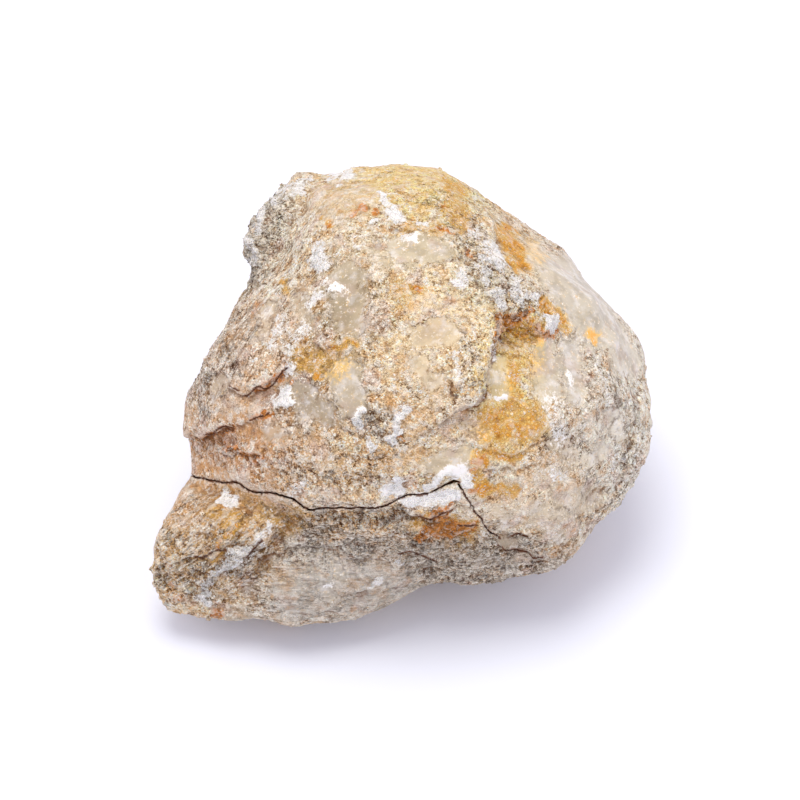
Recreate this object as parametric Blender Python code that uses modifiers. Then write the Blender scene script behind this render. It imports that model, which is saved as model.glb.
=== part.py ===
"""A rough lump of calcite geode, crusted and cracked across its front: one stone.

Metres, +Z up. The origin is the middle of the flat spot that the stone rests on, +X runs across
its broad face and -Y is the side that the broad face leans towards.

The stone is roughed out as a few blocks, fused and rounded, and then carved. The carving is laid
out on the broad face, which leans back: a place there is (across, up), in units of one millimetre
on a stone of the size below, from the stone's middle, as seen from a point straight out from it.
"""

import math

import bmesh
import bpy
import numpy as np
from mathutils import Vector, noise
from mathutils.bvhtree import BVHTree

# Driving dimensions
STONE_WIDTH = 0.110
ROUGHED_WIDTH = 110.0
UNIT = STONE_WIDTH / ROUGHED_WIDTH

# The broad face, and how far out the point is that places on it are read from
FACE_LEAN = math.radians(50.0)
MIDDLE = np.array((0.0, 0.0, 38.0))
READ_FROM = 738.0
ACROSS = np.array((1.0, 0.0, 0.0))
UP_FACE = np.array((0.0, math.sin(FACE_LEAN), math.cos(FACE_LEAN)))
OUT_OF_FACE = np.array((0.0, -math.cos(FACE_LEAN), math.sin(FACE_LEAN)))

# Fusing, rounding and thinning
FUSE_GRID = 1.3
ROUNDING_STEPS = 30
CARVING_GRID = 0.9
SETTLING_STEPS = 4
MOST_TRIANGLES = 9000

# The crack is a slot, widest at its mouth.
CRACK_DEPTH = 7.0
CRACK_MOUTH = 0.75
CRACK_FLOOR = 0.4
CRACK_STAND_OFF = 3.0

# The corners of each block, in units from the middle of the resting spot.
BLOCKS = {
    "body": (
        (-24, 51, 53), (-3, 53, 57.5), (12, 53, 55), (23, 50, 47), (35, 41, 44), (45, 28, 43),
        (56, 13, 40), (57, -5, 35), (54, -16, 31), (45, -26, 25), (38, -35, 20), (20, -37, 16),
        (7, -37, 15.5),
        (-8, 2, 78), (10, 4, 78), (-16, 26, 75), (9, 28, 75), (24, 0, 70), (38, 12, 61),
        (-6, -20, 70), (14, -20, 70), (35, -22, 56), (46, -12, 53), (-22, -30, 56),
        (5, -32, 60), (20, -32, 50), (34, -34, 34), (-37, -28, 40), (-23, -36, 42),
        (-4, -37, 42), (12, -36, 44), (-49, -2, 36), (-47, -14, 28), (-41, -8, 52),
        (-35, 19, 54), (-42, 12, 14), (-32, 36, 18), (-2, 54, 20), (20, 46, 16), (42, 24, 16),
        (-16, -12, -1.5), (15, -13, -1.5), (14, 14, -1.5), (-13, 16, -1.5), (-30, -2, 3),
        (32, 2, 6), (4, 34, 4), (16, -24, 5), (44, -8, 12),
    ),
    "belly": (
        (-56, -34, 18), (-56, -38, 11), (-51, -40, 7), (-27, -42, 10), (-9, -42, 9),
        (5, -37, 13), (-55, -33, 28), (-38, -32, 36), (-22, -39, 24), (-4, -39, 26),
        (-49, -17, 28), (-42, 0, 8), (-24, -26, 2), (0, -20, 0),
        (-22, -30, 36), (4, -30, 36), (-49, -28, 5),
    ),
    "knob": (
        (-23, 54, 56), (-19, 48, 60), (-31, 44, 52), (-38.5, 27, 54),
        (-37.5, 25, 59), (-27, 39, 63), (-30, 30, 44), (-22, 44, 44), (-20, 30, 62),
    ),
}

# Carving runs from nothing to full depth as the surface turns to face the way the broad face does,
# between these shares of facing it squarely.
CARVED = (0.02, 0.35)
FRONT_KNOBS = (-0.6, -0.1)
BACK = (0.0, 0.5)

# Unevenness of the whole stone: wavelength, height.
LUMPS = ((28.0, 1.4), (12.0, 0.9), (5.5, 0.5))

# Extra knobbly crust: (across, up), radius, height of its knobs.
KNOBBLY = {
    "knob": ((-30.0, 38.0), 12.0, 1.5),
    "crust_above_the_nook": ((25.0, 26.0), 8.0, 1.1),
    "crust_by_the_lip": ((13.5, 27.0), 6.0, 0.8),
    "right_edge": ((48.0, -6.0), 16.0, 0.7),
    "foot_of_the_lobe": ((-50.0, -42.0), 9.0, 0.9),
}
KNOB_WAVELENGTH = 3.6
KNOB_RIM = 0.5
BACK_PATCH = 26.0
BACK_PATCH_RIM = (-0.05, 0.3)
BACK_KNOBS = 0.9

# Broken edges. Points (across, up, height), then how far the raised side takes to thin out. The
# side on the right of the way that the points run is the raised one.
LEDGES = {
    "crust_lip": (
        (
            (15.0, 45.4, 1.0), (18.8, 41.6, 1.5), (20.8, 35.0, 1.7), (22.3, 28.8, 1.9),
            (27.8, 23.9, 2.3), (32.4, 19.4, 2.7), (33.2, 15.8, 2.9), (30.8, 13.4, 2.7),
            (28.0, 15.8, 2.9), (24.3, 17.4, 3.1), (21.6, 16.5, 2.9), (20.1, 11.8, 2.3),
            (19.2, 6.4, 2.0), (18.4, 1.5, 1.9), (16.2, -1.5, 1.8), (11.7, -4.3, 1.6),
            (8.1, -7.1, 1.2), (4.9, -9.0, 0.0),
        ),
        11.0,
    ),
    "shelf_above_the_lip": (((16.4, 1.4, 0.3), (13.4, 0.6, 1.0), (10.0, 2.6, 0.3)), 4.0),
    "upper_left_ledge": (
        (
            (-23.5, 9.0, 0.3), (-25.2, 5.5, 1.1), (-29.7, 2.4, 1.4),
            (-33.2, 0.9, 1.3), (-37.0, 2.0, 0.5),
        ),
        7.0,
    ),
    "middle_left_ledge": (((-28.0, -3.4, 0.2), (-31.0, -4.6, 1.0), (-33.8, -5.5, 0.2)), 5.0),
    "left_ledge": (
        ((-37.0, -6.0, 0.3), (-40.3, -7.7, 1.2), (-43.6, -8.4, 1.3), (-46.5, -9.5, 0.8)), 6.0
    ),
    "flank_ledge": (
        (
            (-46.5, 1.1, 0.5), (-41.4, 10.0, 1.2), (-35.8, 17.7, 1.4),
            (-31.0, 24.3, 1.4), (-28.1, 28.1, 0.5),
        ),
        8.0,
    ),
    "lower_flank_ledge": (
        ((-48.0, -7.7, 0.4), (-43.6, 2.2, 0.9), (-38.5, 11.1, 0.9), (-32.5, 19.9, 0.3)), 5.0
    ),
    "ledge_over_the_belly": (
        (
            (17.0, -32.4, 0.4), (6.2, -30.6, 1.3), (-0.4, -29.0, 1.7), (-11.5, -29.4, 1.7),
            (-20.4, -28.5, 1.4), (-26.5, -26.0, 0.4),
        ),
        4.0,
    ),
    "second_ledge_over_the_belly": (
        ((26.1, -36.6, 0.4), (17.3, -35.6, 1.2), (8.4, -34.6, 1.2), (-3.0, -33.0, 0.3)), 4.0
    ),
    "spar_edge": (
        ((-19.0, -1.0, 0.3), (-15.2, 3.5, 0.8), (-13.0, 8.5, 0.8), (-15.0, 14.0, 0.3)), 6.0
    ),
}
EDGE_SLOPE = 0.9

# The crack runs through these places: (across, up, width as a share of the mouth).
CRACK = (
    (-52.0, -16.6, 0.9), (-47.6, -17.5, 0.9), (-42.0, -18.8, 1.0), (-37.2, -19.1, 0.9),
    (-33.6, -21.0, 1.0), (-29.2, -21.4, 1.0), (-25.4, -22.8, 1.1), (-20.6, -25.4, 1.2),
    (-16.6, -24.9, 1.0), (-10.6, -24.9, 0.9), (-6.2, -25.0, 0.9), (-2.4, -23.6, 1.0),
    (3.5, -22.1, 1.0), (8.6, -20.2, 1.4), (12.4, -19.1, 1.6), (13.5, -20.8, 0.9),
    (14.6, -23.2, 0.8), (16.8, -26.6, 0.8), (18.7, -29.4, 0.7), (21.2, -31.6, 0.5),
)

# Hollows in the broad face: (across, up), half-width, half-height, turn in degrees, depth.
HOLLOWS = {
    "nook_under_the_lip": ((25.8, 14.2), 5.4, 3.6, -12, 3.4),
    "recess_under_the_crack": ((-10.5, -27.0), 14.5, 2.3, 0, 2.2),
    "recess_by_the_shoulder": ((12.0, -30.5), 9.0, 4.0, -8, 1.6),
    "fold_in_the_shoulder": ((24.0, -33.2), 5.6, 2.6, -30, 2.6),
    "hollow_below_the_fold": ((27.5, -37.5), 5.0, 2.6, -10, 1.2),
    "chip_at_the_crack": ((11.2, -19.5), 2.0, 0.9, 20, 2.4),
    "chipped_rim": ((-1.4, -20.6), 3.6, 2.8, 10, 0.8),
    "chipped_strip": ((8.0, -23.0), 6.0, 1.6, 12, 0.8),
    "valley_behind_the_knob": ((-26.5, 37.0), 3.2, 12.0, -32, 1.8),
    "undercut_of_the_knob": ((-35.4, 23.6), 3.8, 3.0, 0, 3.0),
    "foot_of_the_upper_left_ledge": ((-31.0, -0.6), 6.5, 2.4, 12, 0.9),
    "foot_of_the_left_ledge": ((-41.0, -10.4), 5.0, 2.0, 0, 0.9),
    "dished_spar": ((-11.5, 21.0), 5.6, 10.0, -12, 1.2),
    "spar_window": ((6.0, 31.5), 6.0, 4.6, 10, 0.6),
    "small_window": ((7.0, 13.5), 5.5, 4.0, 10, 0.9),
    "rusty_pit": ((3.4, 24.0), 1.9, 1.3, 10, 1.1),
    "gully_of_the_lobe": ((-27.5, -33.0), 9.5, 1.9, 52, 1.4),
}

HOLLOW_RIM = (0.35, 1.15)

# Ribs on the broad face: points (across, up), half-width, height.
RIBS = {
    "lobe_rib": (((-29.5, -27.5), (-34.0, -34.0), (-40.0, -42.0)), 2.2, 1.2),
    "lobe_stratum": (((-41.0, -24.5), (-45.5, -31.0), (-49.5, -37.5)), 1.4, 0.7),
    "second_lobe_stratum": (((-36.0, -26.5), (-41.0, -34.0), (-46.5, -42.0)), 1.2, 0.7),
    "rim_of_the_crack": (((-22.0, -26.6), (-12.0, -26.4), (-3.0, -26.2)), 1.0, 0.9),
    "crown_of_the_belly": (((-26.0, -44.0), (-14.0, -40.0), (-2.0, -38.5)), 5.0, 1.6),
    "right_rib": (((46.0, 12.0), (48.0, -5.0), (46.0, -19.0)), 1.7, 1.1),
    "second_right_rib": (((41.0, 20.0), (43.5, 3.0), (40.5, -17.0)), 1.6, 0.8),
    "left_boss": (((-40.5, 4.5), (-35.5, 10.0)), 4.5, 1.2),
    "spar_boss": (((-10.5, 4.5), (-12.5, -1.0)), 3.8, 0.8),
}

# Dents in the back and the underside: middle, radius, depth.
DENTS = (
    ((22, 56, 30), 17, 3.0), ((-38, 42, 28), 13, 2.6), ((-4, 46, 6), 15, 2.4),
    ((54, 26, 24), 12, 2.2), ((-46, 14, 34), 10, 1.6), ((30, 18, 4), 12, 1.8),
    ((0, 60, 46), 9, 1.2), ((46, -14, 12), 9, 1.4), ((-34, -14, 0), 9, 1.4),
)


def ray_to_face(across, up):
    """Where a place on the broad face is read from, and which way it is looked at from there."""
    start = MIDDLE + READ_FROM * OUT_OF_FACE
    onto = MIDDLE + across * ACROSS + up * UP_FACE
    return Vector(start) * UNIT, Vector(onto - start).normalized()


def face_places(points):
    """(across, up) of each point, in units."""
    from_middle = points - MIDDLE
    nearer = READ_FROM / (READ_FROM - from_middle @ OUT_OF_FACE)
    return np.stack((from_middle @ ACROSS * nearer, from_middle @ UP_FACE * nearer), axis=1)


def soft_step(low, high, values):
    share = np.clip((values - low) / (high - low), 0.0, 1.0)
    return share * share * (3.0 - 2.0 * share)


def clear_scene():
    for obj in list(bpy.data.objects):
        bpy.data.objects.remove(obj)


def rough_blocks():
    """One object with each block as the convex hull of its corners."""
    mesh = bpy.data.meshes.new("rough_blocks")
    bm = bmesh.new()
    for corners in BLOCKS.values():
        made = [bm.verts.new(Vector(corner) * UNIT) for corner in corners]
        hull = bmesh.ops.convex_hull(bm, input=made)
        spare = {v for v in hull["geom_interior"] if isinstance(v, bmesh.types.BMVert)}
        bmesh.ops.delete(bm, geom=list(spare), context="VERTS")
    bmesh.ops.recalc_face_normals(bm, faces=bm.faces)
    bm.to_mesh(mesh)
    bm.free()
    stone = bpy.data.objects.new("stone", mesh)
    bpy.context.scene.collection.objects.link(stone)
    return stone


def apply_modifiers(obj):
    graph = bpy.context.evaluated_depsgraph_get()
    finished = bpy.data.meshes.new_from_object(obj.evaluated_get(graph))
    obj.modifiers.clear()
    obj.data = finished


def fuse_and_round(stone):
    fuse = stone.modifiers.new("fuse", "REMESH")
    fuse.mode = "VOXEL"
    fuse.voxel_size = FUSE_GRID * UNIT
    rounding = stone.modifiers.new("rounding", "SMOOTH")
    rounding.factor = 0.5
    rounding.iterations = ROUNDING_STEPS
    regrid = stone.modifiers.new("regrid", "REMESH")
    regrid.mode = "VOXEL"
    regrid.voxel_size = CARVING_GRID * UNIT
    settle = stone.modifiers.new("settle", "SMOOTH")
    settle.iterations = SETTLING_STEPS
    apply_modifiers(stone)


def points_and_normals(obj):
    """Both as arrays, the points in units."""
    count = len(obj.data.vertices)
    points = np.empty(count * 3, np.float32)
    normals = np.empty(count * 3, np.float32)
    obj.data.vertices.foreach_get("co", points)
    obj.data.vertex_normals.foreach_get("vector", normals)
    return points.reshape(-1, 3).astype(float) / UNIT, normals.reshape(-1, 3).astype(float)


def write_points(obj, points):
    obj.data.vertices.foreach_set("co", (points * UNIT).astype(np.float32).ravel())
    obj.data.update()


def noise_at(points, wavelength, shift):
    moved = Vector((shift * 17.3, shift * 5.1, shift * 2.7))
    return np.array([noise.noise(Vector(point) / wavelength + moved) for point in points])


def lump_heights(points):
    total = np.zeros(len(points))
    for number, (wavelength, height) in enumerate(LUMPS):
        total += height * noise_at(points, wavelength, number)
    return total


def knobbly_heights(points, places, facing):
    """Knobs in the zones of the broad face, and in patches over the back."""
    knobs = noise_at(points, KNOB_WAVELENGTH, 7) + 0.5 * noise_at(points, KNOB_WAVELENGTH / 2, 8)
    strength = np.zeros(len(points))
    for middle, radius, height in KNOBBLY.values():
        distance = np.linalg.norm(places - np.array(middle), axis=1)
        strength += height * (1.0 - soft_step(KNOB_RIM * radius, radius, distance))
    strength *= soft_step(*FRONT_KNOBS, facing)
    patches = soft_step(*BACK_PATCH_RIM, noise_at(points, BACK_PATCH, 11))
    strength += BACK_KNOBS * patches * soft_step(*BACK, -facing)
    return strength * knobs


def dent_heights(points):
    total = np.zeros(len(points))
    for middle, radius, depth in DENTS:
        distance = np.linalg.norm(points - np.array(middle, float), axis=1)
        total -= depth * np.exp(-((distance / radius) ** 2))
    return total


def along_line(places, line):
    """How far each place is to the left of a line, and how many legs along the line it is."""
    nearest = np.full(len(places), np.inf)
    to_the_left = np.zeros(len(places))
    travel = np.zeros(len(places))
    for leg, (start, end) in enumerate(zip(line[:-1], line[1:])):
        start = np.array(start[:2])
        run = np.array(end[:2]) - start
        share = np.clip((places - start) @ run / (run @ run), 0.0, 1.0)
        offset = places - start - share[:, None] * run
        distance = np.linalg.norm(offset, axis=1)
        nearer = distance < nearest
        turn = np.sign(run[0] * offset[:, 1] - run[1] * offset[:, 0])
        to_the_left[nearer] = (distance * turn)[nearer]
        travel[nearer] = leg + share[nearer]
        nearest = np.minimum(nearest, distance)
    return to_the_left, travel


def ledge_heights(places):
    total = np.zeros(len(places))
    for line, run in LEDGES.values():
        to_the_left, travel = along_line(places, line)
        heights = np.interp(travel, range(len(line)), [point[2] for point in line])
        standing = soft_step(-EDGE_SLOPE / 2, EDGE_SLOPE / 2, -to_the_left)
        total += heights * standing * np.exp(-np.maximum(-to_the_left, 0.0) / run)
    return total


def hollow_heights(places):
    total = np.zeros(len(places))
    for (across, up), half_width, half_height, turn, depth in HOLLOWS.values():
        angle = math.radians(turn)
        x = places[:, 0] - across
        y = places[:, 1] - up
        along = (x * math.cos(angle) + y * math.sin(angle)) / half_width
        aside = (y * math.cos(angle) - x * math.sin(angle)) / half_height
        total -= depth * (1.0 - soft_step(*HOLLOW_RIM, np.hypot(along, aside)))
    return total


def rib_heights(places):
    total = np.zeros(len(places))
    for line, half_width, height in RIBS.values():
        to_the_left, _ = along_line(places, line)
        total += height * np.exp(-((to_the_left / half_width) ** 2))
    return total


def carve(stone):
    points, normals = points_and_normals(stone)
    places = face_places(points)
    facing = normals @ OUT_OF_FACE
    carving = ledge_heights(places) + hollow_heights(places) + rib_heights(places)
    heights = lump_heights(points) + dent_heights(points)
    heights += knobbly_heights(points, places, facing)
    heights += soft_step(*CARVED, facing) * carving
    write_points(stone, points + heights[:, None] * normals)


def level_resting_spot(stone):
    """Cuts the stone off flat at the height of the floor."""
    bm = bmesh.new()
    bm.from_mesh(stone.data)
    everything = bm.verts[:] + bm.edges[:] + bm.faces[:]
    cut = bmesh.ops.bisect_plane(
        bm, geom=everything, plane_co=(0, 0, 0), plane_no=(0, 0, -1), clear_outer=True
    )
    rim = [edge for edge in cut["geom_cut"] if isinstance(edge, bmesh.types.BMEdge)]
    bmesh.ops.contextual_create(bm, geom=rim)
    bmesh.ops.triangulate(bm, faces=bm.faces)
    bm.to_mesh(stone.data)
    bm.free()


def thin_out(stone):
    triangles = sum(len(face.vertices) - 2 for face in stone.data.polygons)
    thinning = stone.modifiers.new("thinning", "DECIMATE")
    thinning.ratio = MOST_TRIANGLES / triangles
    apply_modifiers(stone)


def crack_blade(stone):
    """A slot that follows the crack, from outside the surface down to its bottom."""
    surface = BVHTree.FromObject(stone, bpy.context.evaluated_depsgraph_get())
    bm = bmesh.new()
    rings = []
    distance = READ_FROM * UNIT
    for number, (across, up, width) in enumerate(CRACK):
        start, inward = ray_to_face(across, up)
        hit = surface.ray_cast(start, inward)
        distance = hit[3] or distance
        before = Vector(CRACK[max(number - 1, 0)][:2])
        after = Vector(CRACK[min(number + 1, len(CRACK) - 1)][:2])
        run = (after - before).normalized()
        aside = (Vector(ACROSS) * -run.y + Vector(UP_FACE) * run.x) * width * UNIT / 2
        mouth = start + inward * (distance - CRACK_STAND_OFF * UNIT)
        floor = start + inward * (distance + CRACK_DEPTH * UNIT)
        corners = (
            mouth + aside * CRACK_MOUTH,
            mouth - aside * CRACK_MOUTH,
            floor - aside * CRACK_FLOOR,
            floor + aside * CRACK_FLOOR,
        )
        rings.append([bm.verts.new(corner) for corner in corners])
    for ring, following in zip(rings[:-1], rings[1:]):
        for corner in range(4):
            nearby = (corner + 1) % 4
            bm.faces.new((ring[corner], ring[nearby], following[nearby], following[corner]))
    bm.faces.new(rings[0])
    bm.faces.new(rings[-1])
    bmesh.ops.recalc_face_normals(bm, faces=bm.faces)
    bmesh.ops.triangulate(bm, faces=bm.faces)
    mesh = bpy.data.meshes.new("crack_blade")
    bm.to_mesh(mesh)
    bm.free()
    blade = bpy.data.objects.new("crack_blade", mesh)
    blade.hide_render = True
    blade.display_type = "WIRE"
    return blade


def cut_crack(stone, cutters):
    blade = crack_blade(stone)
    cutters.objects.link(blade)
    cut = stone.modifiers.new("crack", "BOOLEAN")
    cut.operation = "DIFFERENCE"
    cut.solver = "EXACT"
    cut.object = blade


def calcite_material():
    material = bpy.data.materials.new("crusted_calcite")
    material.use_nodes = True
    shader = material.node_tree.nodes["Principled BSDF"]
    shader.inputs["Base Color"].default_value = (0.56, 0.44, 0.32, 1.0)
    shader.inputs["Roughness"].default_value = 0.85
    shader.inputs["Metallic"].default_value = 0.0
    return material


def collection(name):
    made = bpy.data.collections.new(name)
    bpy.context.scene.collection.children.link(made)
    return made


def main():
    clear_scene()
    geode = collection("broken_calcite_geode")
    cutters = collection("cutters")
    stone = rough_blocks()
    fuse_and_round(stone)
    carve(stone)
    level_resting_spot(stone)
    thin_out(stone)
    cut_crack(stone, cutters)
    stone.data.materials.clear()
    stone.data.materials.append(calcite_material())
    geode.objects.link(stone)
    bpy.context.scene.collection.objects.unlink(stone)


main()
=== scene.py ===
"""The looks of a broken calcite geode: its worn and crusted surface, its crack, its grains.

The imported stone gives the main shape. A fine copy of it is roughened, cracked and coloured here,
and takes its place. Lengths are in metres unless a name ends in MM or mm. A place on the broad face
is (x, y) in the camera's own frame, 800 units wide and high, from its top left corner.
"""

import math
from types import SimpleNamespace

import bmesh
import bpy
import numpy as np
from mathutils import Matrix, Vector, noise
from mathutils.bvhtree import BVHTree

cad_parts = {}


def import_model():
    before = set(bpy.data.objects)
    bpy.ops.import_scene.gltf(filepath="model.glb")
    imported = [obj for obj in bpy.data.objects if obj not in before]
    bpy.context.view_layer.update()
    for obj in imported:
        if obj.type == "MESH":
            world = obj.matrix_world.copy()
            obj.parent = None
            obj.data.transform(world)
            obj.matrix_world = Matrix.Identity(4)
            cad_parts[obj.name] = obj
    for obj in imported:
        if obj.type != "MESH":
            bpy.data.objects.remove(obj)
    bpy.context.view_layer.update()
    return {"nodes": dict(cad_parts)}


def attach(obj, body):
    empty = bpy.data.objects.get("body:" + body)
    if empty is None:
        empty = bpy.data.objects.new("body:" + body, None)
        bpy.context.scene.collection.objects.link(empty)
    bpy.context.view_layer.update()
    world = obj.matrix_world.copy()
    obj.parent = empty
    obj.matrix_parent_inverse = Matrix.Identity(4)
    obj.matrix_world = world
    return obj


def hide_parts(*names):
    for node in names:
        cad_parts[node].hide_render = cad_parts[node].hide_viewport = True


MM = 0.001

# Camera: it looks at the broad face square on.
FRAME = 800
LENS_MM = 150.0
SENSOR_MM = 36.0
MM_PER_UNIT = 0.2213
MIDDLE = np.array((0.0, 0.0, 0.038))
MIDDLE_SEEN_AT = np.array((402.0, 395.0))
LOOK_DOWN = math.radians(50.0)
ACROSS = np.array((1.0, 0.0, 0.0))
UP_FACE = np.array((0.0, math.sin(LOOK_DOWN), math.cos(LOOK_DOWN)))
TO_CAMERA = np.array((0.0, -math.cos(LOOK_DOWN), math.sin(LOOK_DOWN)))
FOCUS = LENS_MM / SENSOR_MM * FRAME
DISTANCE = FOCUS * MM_PER_UNIT * MM

# Where the drawn marks hold: on what faces the camera by more than these values, and down to a
# sloping girdle round the stone, where they fade raggedly
TURNED_AWAY = (-0.3, 0.0)
GIRDLE_SLOPE = 0.39
GIRDLE_HEIGHT_MM = 28.0
GIRDLE_RAGGED_MM = 16.0
GIRDLE_FADE_MM = (-14.0, -4.0)

# The fine copy: its grid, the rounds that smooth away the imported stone's facets, how far the nook's
# floor is raised, and the height over which the relief fades to nothing where the stone rests
FINE_GRID = 0.42 * MM
FACET_ROUNDS = 14
MOST_TRIANGLES = 196000
NOOK_FILL_MM = 1.6
RESTING_MM = (0.2, 2.5)
BUMP_MM = 0.7

# Cracks: (x, y, width as a share of the mouth). Each is walked in small steps and sways a little.
CRACK = (
    (184, 472, 0.8), (196, 477, 0.9), (207, 480, 0.9), (216, 481, 0.8), (224, 483, 0.8),
    (235, 482, 0.8), (241, 485, 0.9), (248, 490, 1.0), (256, 493, 1.0), (268, 492, 0.8),
    (276, 494, 1.2), (286, 497, 1.6), (295, 500, 1.4), (303, 507, 1.1), (310, 510, 1.0),
    (322, 508, 0.8), (340, 508, 0.7), (357, 508, 0.7), (374, 508, 0.8), (386, 506, 0.9),
    (396, 500, 0.9), (408, 495, 1.0), (420, 495, 0.8), (432, 492, 0.8), (440, 488, 1.2),
    (447, 484, 1.8), (454, 481, 2.6), (459, 482, 2.4),
)
CRACK_BRANCH = (
    (458, 484, 1.4), (463, 491, 0.6), (465, 497, 0.5), (471, 503, 0.5), (475, 513, 0.55),
    (481, 519, 0.6), (488, 531, 0.65), (496, 535, 0.5), (500, 539, 0.4),
)
CRACK_STEP = 2.5
CRACK_SWAY = 1.3
CRACK_MOUTH = 0.31 * MM
CRACK_DEPTH = 3.2 * MM
SMALL_MOUTH = 0.15 * MM
SMALL_DEPTH = 0.6 * MM
BLADE_ABOVE = 2.0 * MM
SMALL_CRACKS = (
    ((287, 368, 1.4), (282, 372, 1.6), (277, 380, 1.0), (271, 387, 0.9), (265, 389, 0.9),
     (257, 386, 1.0), (254, 390, 0.8), (250, 395, 1.1), (244, 396, 0.6)),
    ((240, 391, 0.6), (234, 389, 0.7), (229, 386, 0.4)),
    ((269, 413, 0.8), (262, 416, 1.5), (256, 418, 1.1), (250, 421, 0.6)),
    ((230, 430, 1.0), (225, 426, 1.6), (218, 429, 1.3), (214, 433, 0.9), (204, 435, 0.6)),
    ((226, 550, 0.6), (215, 551, 0.9), (205, 557, 1.0), (195, 557, 0.7)),
    ((262, 541, 0.7), (253, 550, 1.1), (246, 558, 0.8)),
    ((399, 554, 0.6), (408, 551, 1.2), (423, 556, 0.9), (437, 562, 0.6)),
    ((416, 515, 0.7), (430, 520, 1.4), (442, 514, 1.3), (453, 510, 0.7)),
    ((458, 525, 0.5), (468, 526, 0.9), (477, 525, 0.5)),
    ((512, 536, 0.8), (519, 534, 1.5), (526, 536, 0.8)),
    ((498, 545, 0.6), (505, 551, 0.9), (516, 549, 0.8), (527, 552, 1.0), (534, 558, 0.8),
     (545, 557, 0.5)),
)

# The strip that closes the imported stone's crack. It starts a little below the lips, which are felt
# for at some distance to each side.
FILLER_DEPTH = 7.6 * MM
FILLER_WIDTH = 1.7 * MM
FILLER_BELOW = 0.25 * MM
FILLER_STEP = 9.0
LIPS_APART = 5.5

# Rounds of averaging that tell the pits, the wider hollows and the broad lie of the surface, and how
# deep a full pit and a full hollow are. The pits and hollows set where shade and highlights are painted
# on the crust.
PIT_ROUNDS = 6
HOLLOW_ROUNDS = 40
NORMAL_ROUNDS = 20
PIT_MM = 0.36
HOLLOW_MM = 1.6

# Crumbs of the crust: how many, the share of pale ones, their least and greatest size, their least
# and greatest length, width and height as shares of it, and how deep they are set
CRUMBS = 7500
PALE_CRUMBS = 0.2
CRUMB_MM = (0.36, 1.15)
CRUMB_SHAPE = ((0.8, 0.6, 0.35), (1.1, 1.0, 0.6))
CRUMB_SINK_MM = 0.06

# Which way the fibres of each part run, up from level, and how fine they are along, across and
# into the surface, per metre
FIBRE_SCALES = (260.0, 1500.0, 700.0)
BELLY_LAY = math.radians(3.0)
LOBE_LAY = math.radians(40.0)
FLANK_LAY = math.radians(58.0)


def soft_step(low, high, values):
    share = np.clip((values - low) / (high - low), 0.0, 1.0)
    return share * share * (3.0 - 2.0 * share)


def clamp(values):
    return np.clip(values, 0.0, 1.0)


# Seeing places on the stone


def seen_at(points):
    """Where the camera sees each point, in frame units."""
    away = points - MIDDLE
    nearer = DISTANCE / (DISTANCE - away @ TO_CAMERA)
    right = away @ ACROSS * nearer / (MM_PER_UNIT * MM)
    up = away @ UP_FACE * nearer / (MM_PER_UNIT * MM)
    return np.stack((MIDDLE_SEEN_AT[0] + right, MIDDLE_SEEN_AT[1] - up), axis=1)


def sight_line(x, y):
    """The camera's line of sight through a place: where it starts and which way it goes."""
    start = MIDDLE + DISTANCE * TO_CAMERA
    right = (x - MIDDLE_SEEN_AT[0]) * MM_PER_UNIT * MM
    up = (MIDDLE_SEEN_AT[1] - y) * MM_PER_UNIT * MM
    onto = MIDDLE + right * ACROSS + up * UP_FACE
    return Vector(start), Vector(onto - start).normalized()


def make_camera():
    data = bpy.data.cameras.new("camera")
    data.lens = LENS_MM
    data.sensor_width = SENSOR_MM
    data.clip_start = 0.01
    camera = bpy.data.objects.new("camera", data)
    off_centre = (FRAME / 2 - MIDDLE_SEEN_AT) * MM_PER_UNIT * MM
    place = MIDDLE + DISTANCE * TO_CAMERA + off_centre[0] * ACROSS - off_centre[1] * UP_FACE
    camera.location = Vector(place)
    camera.rotation_euler = (math.pi / 2 - LOOK_DOWN, 0.0, 0.0)
    bpy.context.scene.collection.objects.link(camera)
    bpy.context.scene.camera = camera


# Meshes as arrays


def points_of(mesh):
    values = np.empty(len(mesh.vertices) * 3, np.float32)
    mesh.vertices.foreach_get("co", values)
    return values.reshape(-1, 3).astype(float)


def normals_of(mesh):
    values = np.empty(len(mesh.vertices) * 3, np.float32)
    mesh.vertex_normals.foreach_get("vector", values)
    return values.reshape(-1, 3).astype(float)


def put_points(mesh, points):
    mesh.vertices.foreach_set("co", points.astype(np.float32).ravel())
    mesh.update()


def edges_of(mesh):
    values = np.empty(len(mesh.edges) * 2, np.int32)
    mesh.edges.foreach_get("vertices", values)
    return values.reshape(-1, 2)


def smoothed(values, edges, rounds):
    """Values at the vertices, each moved halfway to its neighbours' mean a number of times."""
    values = values.reshape(len(values), -1)
    count = np.bincount(edges.ravel(), minlength=len(values)).astype(float)[:, None]
    for _ in range(rounds):
        total = np.empty_like(values)
        for column in range(values.shape[1]):
            from_ends = values[edges[:, 1], column], values[edges[:, 0], column]
            total[:, column] = np.bincount(edges[:, 0], from_ends[0], len(values))
            total[:, column] += np.bincount(edges[:, 1], from_ends[1], len(values))
        values = values + 0.5 * (total / np.maximum(count, 1.0) - values)
    return values


def finished_mesh(obj):
    """The object's mesh with its modifiers applied."""
    graph = bpy.context.evaluated_depsgraph_get()
    mesh = bpy.data.meshes.new_from_object(obj.evaluated_get(graph))
    obj.modifiers.clear()
    obj.data = mesh
    return mesh


def add_object(name, mesh):
    obj = bpy.data.objects.new(name, mesh)
    bpy.context.scene.collection.objects.link(obj)
    return obj


# Noise


def noise_at(points, wavelength_mm, seed):
    scale = 1.0 / (wavelength_mm * MM)
    shift = np.array((seed * 11.7, seed * 4.3, seed * 7.9))
    return np.array([noise.noise(place) for place in (points * scale + shift).tolist()])


def grains_at(points, wavelength_mm, seed):
    """Rounded grains packed side by side: 1 on their tops, 0 in the gaps between them."""
    nearest = cell_distances(points, wavelength_mm, seed)
    return clamp((nearest[:, 1] - nearest[:, 0]) * 1.6)


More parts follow.
